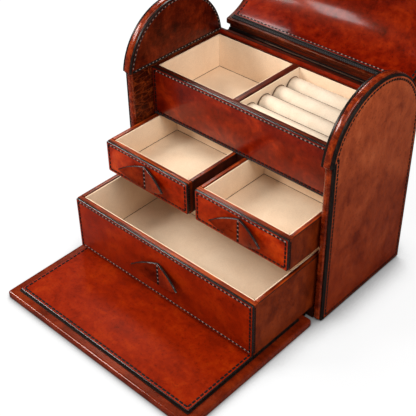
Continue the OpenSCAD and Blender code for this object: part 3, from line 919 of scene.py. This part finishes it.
class JEWELLERY_OT_carcass(bpy.types.Operator):
    """Cover the back and give the inner boards a near-black leather tone as painted shade between the parts.
    """

    bl_idname = "jewellery.carcass"
    bl_label = "Carcass"

    def execute(self, context):
        back = block("back_leather", *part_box("back_panel"))
        paint(back, "cognac_board", "rim_across")
        assign(back, faces_to(Z), 1)
        bevel(back, lies(1, REAR_Y), BACK_ROUND, 3)
        settle(back, "box", ["back_panel"])
        for name in ("base_board", "drawer_shelf", "drawer_partition", "tray_floor"):
            paint(frame["nodes"][name], "inner_painted_shade")
        for name in DRAWERS:
            paint(frame["nodes"][f"{name}_drawer_bottom"], "chestnut_satin")
        return {"FINISHED"}


class JEWELLERY_OT_tray(bpy.types.Operator):
    """Sew the tray's front and wrap its rims."""

    bl_idname = "jewellery.tray"
    bl_label = "Tray"

    def execute(self, context):
        s = sizes()
        sewn_front("tray_front", "box", "cognac_cloudy", ["rim_across"], round_corners=False)
        low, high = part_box("tray_front")
        ends = along_x(low.x + CORD_SHORT, high.x - CORD_SHORT, low.y - CORD_PROUD, low.z + CORD_UP * s.cord)
        tube("tray_front_cord", ends, s.cord, "box", "twisted_cord")
        for node, look in (("tray_back_wall", "rim_across"), ("tray_left_wall", "rim_deep"),
                           ("tray_right_wall", "rim_deep"), ("tray_divider", "rim_deep")):
            wrapped(node.replace("tray_", "tray_rim_"), *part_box(node), "box", "leather", [node], look)
        return {"FINISHED"}


def liner(place, body):
    """An open suede box that fills a compartment, and the loose pad on its floor."""
    s = sizes()
    name, node = f"{place}_suede", f"{place}_lining"
    low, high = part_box(node)
    shell = block(name, low, high)
    paint(shell, "cream_suede")
    floor = low.z + LINING_FLOOR
    choose(shell, faces=faces_to(Z))
    bpy.ops.mesh.inset(thickness=s.lining, depth=0.0)
    bpy.ops.mesh.extrude_region_move(TRANSFORM_OT_translate={"value": (0, 0, floor - high.z)})
    done()
    outside = lies(0, low.x), lies(0, high.x)
    bevel(shell, lambda e: runs(2)(e) and not any(test(e) for test in outside), LINING_CORNER, 2)
    bevel(shell, lies(2, high.z), LINING_RIM, 2)
    settle(shell, body, [node])
    gap = s.lining + PAD_GAP
    pad = block(name + "_pad", Vector((low.x + gap, low.y + gap, floor)),
                Vector((high.x - gap, high.y - gap, floor + s.pad)))
    paint(pad, "cream_suede")
    bevel(pad, lies(2, floor + s.pad), PAD_ROUND, 3)
    settle(pad, body)
    x0, x1, y0, y1 = low.x + s.lining, high.x - s.lining, low.y + s.lining, high.y - s.lining
    corners = [Vector((x, y, floor + s.pad)) for x, y in ((x0, y0), (x1, y0), (x1, y1), (x0, y1))]
    tube(name + "_seam_floor", corners, LINING_SEAM_R, body, "lining_seam", closed=True)
    for number, corner in enumerate(corners, 1):
        top = Vector((corner.x, corner.y, high.z - LINING_SEAM_DOWN))
        tube(f"{name}_seam_{number}", [corner, top], LINING_SEAM_R, body, "lining_seam")


class JEWELLERY_OT_linings(bpy.types.Operator):
    """Line the tray's compartments and the drawers with suede."""

    bl_idname = "jewellery.linings"
    bl_label = "Linings"

    def execute(self, context):
        liner("tray", "box")
        liner("ring", "box")
        for name in DRAWERS:
            liner(f"{name}_drawer", f"{name}_drawer")
        return {"FINISHED"}


class JEWELLERY_OT_ring_rolls(bpy.types.Operator):
    """Fill the rolls that hold rings, sew round their ends, and lay dark cords between them as painted shade.
    """

    bl_idname = "jewellery.ring_rolls"
    bl_label = "Ring Rolls"

    def execute(self, context):
        for number in (1, 2, 3, 4):
            low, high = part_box(f"ring_roll_{number}")
            r = (high.y - low.y) / 2
            middle, crown = (low.y + high.y) / 2, high.z - r
            roll = self.sleeve(f"ring_pad_{number}", low, high, r, middle, crown)
            self.fill(context.scene, roll, low, high)
            settle(roll, "box", [f"ring_roll_{number}"], smooth=60)
            self.threads(number, low, high, r, middle, crown)
        return {"FINISHED"}

    def sleeve(self, name, low, high, r, middle, crown):
        """The empty sleeve of a roll: half round above, upright below, and slimmer by the slack."""
        s = sizes()
        slim = r - s.roll_slack
        flat = [(middle + slim * math.cos(a), crown + slim * math.sin(a))
                for a in spread(0.0, math.pi, ROLL_STEPS)]
        flat += [(middle - slim, low.z), (middle + slim, low.z)]
        start, end = low.x + s.roll_slack / 2, high.x - s.roll_slack / 2
        roll = slab(name, [Vector((start, y, z)) for y, z in flat], X * (end - start))
        paint(roll, "roll_suede")
        bevel(roll, lambda e: lies(0, start)(e) or lies(0, end)(e), ROLL_ROUND, 2)
        modify(roll, "REMESH", mode="VOXEL", voxel_size=s.roll_voxel)
        return roll

    def fill(self, scene, roll, low, high):
        """Swell a sleeve with its filling: foot and ends are held, and no point moves more than the slack."""
        s = sizes()
        held = roll.vertex_groups.new(name="held")
        held.add([v.index for v in roll.data.vertices if v.co.z < low.z + ROLL_FOOT
                  or min(v.co.x - low.x, high.x - v.co.x) < ROLL_END], 1.0, "REPLACE")
        before = [v.co.copy() for v in roll.data.vertices]
        only(roll)
        bpy.ops.object.modifier_add(type="CLOTH")
        cloth = roll.modifiers[-1]
        cloth.settings.use_pressure = True
        cloth.settings.uniform_pressure_force = ROLL_PRESSURE
        cloth.settings.effector_weights.gravity = 0.0
        cloth.settings.vertex_group_mass = held.name
        for step in range(1, ROLL_FRAMES + 1):
            scene.frame_set(step)
        bpy.ops.object.modifier_apply(modifier=cloth.name)
        scene.frame_set(1)
        for v, start in zip(roll.data.vertices, before):
            move = v.co - start
            if move.length > s.roll_slack:
                v.co = start + move * (s.roll_slack / move.length)
        roll.vertex_groups.clear()
        modify(roll, "SUBSURF", levels=1, render_levels=1)

    def threads(self, number, low, high, r, middle, crown):
        """A thread sewn round each end of a roll, and a dark cord in the crease behind it that is painted
        shade.
        """
        around = r - END_THREAD_SINK
        for word, place in (("left", low.x + END_THREAD_IN), ("right", high.x - END_THREAD_IN)):
            points = [Vector((place, middle + around * math.cos(a), crown + around * math.sin(a)))
                      for a in spread(0.0, math.pi, THREAD_STEPS)]
            tube(f"ring_pad_{number}_thread_{word}", points, END_THREAD_R, "box", "lining_seam")
        # a dark cord laid in the crease as painted shade
        crease = along_x(low.x + CREASE_SHORT, high.x - CREASE_SHORT, high.y + CREASE_BACK, crown + CREASE_UP)
        tube(f"ring_pad_{number}_crease_shade", crease, CREASE_R, "box", "lining_seam")


class JEWELLERY_OT_drawers(bpy.types.Operator):
    """Sew the drawers' fronts and wrap their sides and backs."""

    bl_idname = "jewellery.drawers"
    bl_label = "Drawers"

    def execute(self, context):
        for name in DRAWERS:
            body, wide = f"{name}_drawer", name == "wide"
            # the small drawers' fronts take a lighter copy of the cognac as painted light
            sewn_front(f"{body}_front", body, "cognac_polished" if wide else "cognac_painted_light",
                       ["chestnut_satin", "drawer_rim_across"], (wide, True, False, False))
            for side, sign in SIDES:
                # the small drawers' facing sides are near black as painted shade in the gap between them
                inner = (name, side) in (("left", "right"), ("right", "left"))
                look = "inner_painted_shade" if inner else "chestnut_satin"
                self.wall(body, f"{side}_side", look, "drawer_rim_deep", sign)
            self.wall(body, "back", "chestnut_satin", "drawer_rim_across", 0)
        return {"FINISHED"}

    def wall(self, body, part, look, rim, sign):
        """A side, with piping and ticks of thread along its outer edges, or the back, whose sign is 0."""
        s = sizes()
        node = f"{body}_{part}"
        low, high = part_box(node)
        wrapped(f"{node}_leather", low, high, body, "leather_side", [node], look, rim)
        if sign:
            outer = high.x if sign > 0 else low.x
            ends = [Vector((outer - sign * PIPING_IN, y, high.z - PIPING_DOWN)) for y in (low.y, high.y)]
            tube(f"{node}_piping", ends, PIPING_R, body, "edge_paint")
            ticks = [Vector((outer - sign * s.stitch_sink, low.y - TICKS_BEFORE, z))
                     for z in (low.z + TICKS_SHORT, high.z - TICKS_SHORT)]
            stitches(f"{node}_ticks", ticks, body, pale=False, scale=TICKS_SCALE)


class JEWELLERY_OT_tabs(bpy.types.Operator):
    """Cut, bow and sew the leaf-shaped pull tabs."""

    bl_idname = "jewellery.tabs"
    bl_label = "Pull Tabs"

    def execute(self, context):
        s = sizes()
        for name in DRAWERS:
            body = f"{name}_drawer"
            low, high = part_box(f"{body}_tab")
            half_w, half_h = (high.x - low.x) / 2, (high.z - low.z) / 2
            reach = s.tab_bow * math.asin(half_w / s.tab_bow)
            span = 2 * math.asin(min(1.0, reach / s.tab_lens))
            arc = spread(-span / 2, span / 2, TAB_STEPS)
            drop = s.tab_lens - half_h
            bulge = [(s.tab_lens * math.sin(t), max(0.0, s.tab_lens * math.cos(t) - drop)) for t in arc]
            top = [(x, TAB_ARC_SHARE * z + (1 - TAB_ARC_SHARE) * half_h * (1 - abs(x) / reach))
                   for x, z in bulge]
            flat = top + [(x, -z) for x, z in reversed(top[1:-1])]
            tab = slab(f"{body}_pull_tab", [Vector((x, -s.tab_t, z)) for x, z in flat], Y * s.tab_t)
            # the tab's leather is darker than the front as painted shade
            paint(tab, "cognac_tab_painted_shade", "edge_gloss")
            for cut in spread(-reach, reach, TAB_CUTS)[1:-1]:
                choose(tab, faces=lambda f: True)
                bpy.ops.mesh.bisect(plane_co=(cut, 0, 0), plane_no=(1, 0, 0))
                done()
            assign(tab, lambda f: abs(f.normal.y) < 0.5, 1)
            bevel(tab, sharp(60), TAB_EDGE, 3, 1)
            curl = -TAB_CURL * reach / s.tab_bow
            modify(tab, "SIMPLE_DEFORM", deform_method="BEND", deform_axis="Z", angle=curl)
            for sign in (-1, 1):
                choose(tab, faces=lambda f: f.calc_center_median().x * sign > 0)
                bpy.ops.transform.rotate(value=sign * s.tab_fold, orient_axis="Z", center_override=(0, 0, 0))
                done()
            tab.location = ((low.x + high.x) / 2, high.y, (low.z + high.z) / 2)
            fix_place(tab)
            settle(tab, body, [f"{body}_tab"], smooth=45)
            deep = s.stitch_sink + (TAB_SEAM_BOLD - 1.0) * s.stitch_radius - TAB_SEAM_RAISE
            seam = [Vector(((low.x + high.x) / 2, high.y - s.tab_t + deep, z))
                    for z in (low.z + TAB_SEAM_SHORT, high.z - TAB_SEAM_SHORT)]
            stitches(f"{body}_tab_seam", seam, body, bold=TAB_SEAM_BOLD)
        return {"FINISHED"}


class JEWELLERY_OT_lid(bpy.types.Operator):
    """Wrap the barrel lid and sew the raised panel inside it."""

    bl_idname = "jewellery.lid"
    bl_label = "Lid"

    def execute(self, context):
        s = sizes()
        panel_low, panel_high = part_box("lid_panel")
        inside = panel_high.y - BARREL_Y
        margin = LID_HIGH.x - panel_high.x
        outline = lid_points(LID_LOW.x, ARCH_R, SEAM_Z, LIP_Z)
        outline += reversed(lid_points(LID_LOW.x, inside, SEAM_Z, LIP_Z))
        shell = slab("lid_leather", outline, X * (LID_HIGH.x - LID_LOW.x))
        paint(shell, "cognac_board", "brown_border")
        assign(shell, lambda f: f.normal.dot((f.calc_center_median() - BARREL) * (Y + Z)) < 0.5 * ARCH_R, 1)
        bevel(shell, sharp(), LID_ROUND, 3)
        settle(shell, "lid", ["lid_shell"])
        skin = inside - s.lid_panel
        outline = lid_points(panel_low.x, inside, SEAM_Z + margin, LIP_Z + margin)
        outline += reversed(lid_points(panel_low.x, skin, SEAM_Z + margin, LIP_Z + margin))
        panel = slab("lid_panel_leather", outline, X * (panel_high.x - panel_low.x))
        paint(panel, "cognac_lid", "edge_paint")
        assign(panel, lambda f: abs(f.normal.x) > 0.5 or abs(
            f.normal.dot(((f.calc_center_median() - BARREL) * (Y + Z)).normalized())) < 0.5, 1)
        bevel(panel, sharp(), s.edge, 3, 1)
        settle(panel, "lid", ["lid_panel"], smooth=30)
        self.seams(panel_low, panel_high, skin, margin)
        for number, away in ((1, 0.9), (2, 2.7)):
            line = margin - away * s.cord
            cord = lid_points(0, inside - CORD_SINK * s.cord, SEAM_Z + line, LIP_Z + line)
            for word, at in (("rear", cord[0]), ("front", cord[-1])):
                ends = along_x(panel_low.x, panel_high.x, at.y, at.z)
                tube(f"lid_cord_{word}_{number}", ends, s.cord, "lid", "twisted_cord")
        return {"FINISHED"}

    def seams(self, low, high, skin, margin):
        """Seams along the panel's four edges."""
        s = sizes()
        line = margin + s.stitch_inset
        arc = lid_points(0, skin + s.stitch_sink, SEAM_Z + line, LIP_Z + line)
        x0, x1 = low.x + s.stitch_inset, high.x - s.stitch_inset
        for word, at in (("rear", arc[0]), ("front", arc[-1])):
            stitches(f"lid_seam_{word}", along_x(x0, x1, at.y, at.z), "lid")
        for word, x in (("left", x0), ("right", x1)):
            stitches(f"lid_seam_{word}", [Vector((x, p.y, p.z)) for p in arc], "lid", pale=False)


class JEWELLERY_OT_flap(bpy.types.Operator):
    """Wrap the fall front and sew its raised panel."""

    bl_idname = "jewellery.flap"
    bl_label = "Fall Front"

    def execute(self, context):
        s = sizes()
        low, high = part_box("flap_board")
        panel_low, panel_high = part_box("flap_panel")
        board = block("flap_leather", low, high)
        paint(board, "brown_wrapped", "brown_gloss")
        bevel(board, runs(2), FLAP_CORNER, 5)
        bevel(board, lambda e: sharp()(e) and lies(2, high.z)(e), s.band, 5, 1)
        bevel(board, lambda e: sharp()(e) and lies(2, low.z)(e), FLAP_FOOT, 2)
        settle(board, "flap", ["flap_board"])
        # a black strip round the raised panel is painted shadow under its edge
        around = (X + Y) * SHADE_WIDTH
        shade_high = Vector((panel_high.x, panel_high.y, high.z + SHADE_RISE)) + around
        shade = block("flap_panel_painted_shadow", panel_low - around, shade_high)
        paint(shade, "edge_paint")
        bevel(shade, runs(2), s.corner, 4)
        settle(shade, "flap")
        panel = leather_panel("flap_panel_leather", panel_low, panel_high, Z, "cognac_polished")
        settle(panel, "flap", ["flap_panel"])
        frame_seams("flap_panel", panel_low, panel_high, Z, "flap", 4 * (False,), FLAP_SEAM_SCALE)
        return {"FINISHED"}


class JEWELLERY_OT_hinges(bpy.types.Operator):
    """Give the hinges their leather-covered leaves and dark brass pins."""

    bl_idname = "jewellery.hinges"
    bl_label = "Hinges"

    def execute(self, context):
        for name in ("lid_hinge_box_leaf", "lid_hinge_lid_leaf"):
            paint(frame["nodes"][name], "hinge_leather")
        for name in ("lid_hinge_pin", "flap_hinge_box_leaf", "flap_hinge_flap_leaf", "flap_hinge_pin"):
            paint(frame["nodes"][name], "antique_brass")
        return {"FINISHED"}


class JEWELLERY_OT_stage(bpy.types.Operator):
    """Set the pale floor, the studio light and the camera."""

    bl_idname = "jewellery.stage"
    bl_label = "Stage"

    def execute(self, context):
        self.ground()
        self.lights(context.scene)
        self.camera(context.scene)
        context.scene.view_settings.view_transform = "Standard"
        return {"FINISHED"}

    def ground(self):
        """A pale floor that shows white to the camera and keeps a soft shadow where the box stands."""
        only(None)
        bpy.ops.mesh.primitive_plane_add(size=FLOOR_SIZE, location=(0, 0, -FLOOR_DROP))
        floor = bpy.context.object
        floor.name = "floor"
        f = Finish("pale_floor", Specular_IOR_Level=0.0, Roughness=1.0)
        pale = colours().ground
        f.close(f.ramp(f.noise(f.place(), 3.0), (0.3, [0.97 * tone for tone in pale]), (0.7, pale)))
        rays = f.add("ShaderNodeLightPath")
        contact = f.add("ShaderNodeAmbientOcclusion", samples=8)
        contact.inputs["Distance"].default_value = CONTACT_REACH
        glow = f.add("ShaderNodeEmission")
        # painted shadow: the glow darkens where ambient occlusion finds the box near the floor
        shadow = f.ramp(contact.outputs["AO"], (0.30, 0.04), (0.62, 0.42), (0.82, 0.90), (0.97, 1.0))
        f.feed(glow.inputs["Color"], shadow)
        seen = f.work(rays.outputs["Is Camera Ray"], FLOOR_GLOW, "MULTIPLY")
        f.feed(glow.inputs["Strength"], f.work(seen, FLOOR_GLOW_LEAST))
        blend = f.add("ShaderNodeMixShader")
        f.feed(blend.inputs[0], f.work(seen, rays.outputs["Is Glossy Ray"], "MAXIMUM"))
        f.tree.links.new(f.shader.outputs[0], blend.inputs[1])
        f.tree.links.new(glow.outputs[0], blend.inputs[2])
        f.tree.links.new(blend.outputs[0], f.tree.nodes["Material Output"].inputs["Surface"])
        floor.data.materials.append(f.material)

    def lights(self, scene):
        """Even studio light; its reflections are held back so that the leather keeps its colour."""
        world = bpy.data.worlds.new("studio")
        world.use_nodes = True
        nodes, links = world.node_tree.nodes, world.node_tree.links
        level = nodes.new("ShaderNodeMapRange")
        level.inputs["To Min"].default_value = SKY_LEVEL
        level.inputs["To Max"].default_value = SKY_REFLECTED
        links.new(nodes.new("ShaderNodeLightPath").outputs["Is Glossy Ray"], level.inputs["Value"])
        nodes["Background"].inputs["Color"].default_value = (1, 1, 1, 1)
        links.new(level.outputs["Result"], nodes["Background"].inputs["Strength"])
        scene.world = world
        for name, place, size, power in LAMPS:
            bpy.ops.object.light_add(type="AREA", location=place)
            lamp = bpy.context.object
            lamp.name = name
            lamp.data.shape = "SQUARE"
            lamp.data.size = size
            lamp.data.energy = power
            lamp.rotation_mode = "QUATERNION"
            lamp.rotation_quaternion = (LAMP_AIM - Vector(place)).to_track_quat("-Z", "Y")

    def camera(self, scene):
        """The camera that sees the box as the photograph does."""
        around, above, roll = CAMERA_AROUND, CAMERA_ABOVE, CAMERA_ROLL
        right = Vector((math.cos(around), math.sin(around), 0))
        back = Z.cross(right) * -math.cos(above) + Z * math.sin(above)
        up = back.cross(right)
        level = right * math.cos(roll) + up * math.sin(roll)
        upright = up * math.cos(roll) - right * math.sin(roll)
        bpy.ops.object.camera_add(location=CAMERA_AT)
        camera = bpy.context.object
        camera.matrix_world = Matrix.Translation(camera.location) @ Matrix(
            (level, upright, back)).transposed().to_4x4()
        camera.data.sensor_width, camera.data.lens = CAMERA_SENSOR, CAMERA_LENS
        camera.data.clip_start, camera.data.clip_end = 0.01, 50.0
        scene.camera = camera


OPERATORS = (
    JEWELLERY_OT_end_panels,
    JEWELLERY_OT_carcass,
    JEWELLERY_OT_tray,
    JEWELLERY_OT_linings,
    JEWELLERY_OT_ring_rolls,
    JEWELLERY_OT_drawers,
    JEWELLERY_OT_tabs,
    JEWELLERY_OT_lid,
    JEWELLERY_OT_flap,
    JEWELLERY_OT_hinges,
    JEWELLERY_OT_stage,
)


class JEWELLERY_PT_box(bpy.types.Panel):
    """Sizes, colours and steps of the jewellery box."""

    bl_idname = "JEWELLERY_PT_box"
    bl_label = "Jewellery Box"
    bl_space_type = "VIEW_3D"
    bl_region_type = "UI"
    bl_category = "Jewellery Box"

    def draw(self, context):
        for group in (context.scene.jewellery_box_sizes, context.scene.jewellery_box_colours):
            column = self.layout.column(align=True)
            for key in group.__annotations__:
                column.prop(group, key)
        for step in OPERATORS:
            self.layout.operator(step.bl_idname)


CLASSES = (JewelleryBoxSizes, JewelleryBoxColours, *OPERATORS, JEWELLERY_PT_box)


def register():
    """Add the classes and the scene's sizes and colours."""
    for made in CLASSES:
        bpy.utils.register_class(made)
    bpy.types.Scene.jewellery_box_sizes = PointerProperty(type=JewelleryBoxSizes)
    bpy.types.Scene.jewellery_box_colours = PointerProperty(type=JewelleryBoxColours)


def unregister():
    """Take away what register added."""
    del bpy.types.Scene.jewellery_box_colours
    del bpy.types.Scene.jewellery_box_sizes
    for made in reversed(CLASSES):
        bpy.utils.unregister_class(made)


def main():
    """Run every step in order."""
    register()
    for step in OPERATORS:
        group, name = step.bl_idname.split(".")
        if getattr(getattr(bpy.ops, group), name)() != {"FINISHED"}:
            raise RuntimeError(f"{step.bl_label} did not finish")


if __name__ == "__main__":
    main()
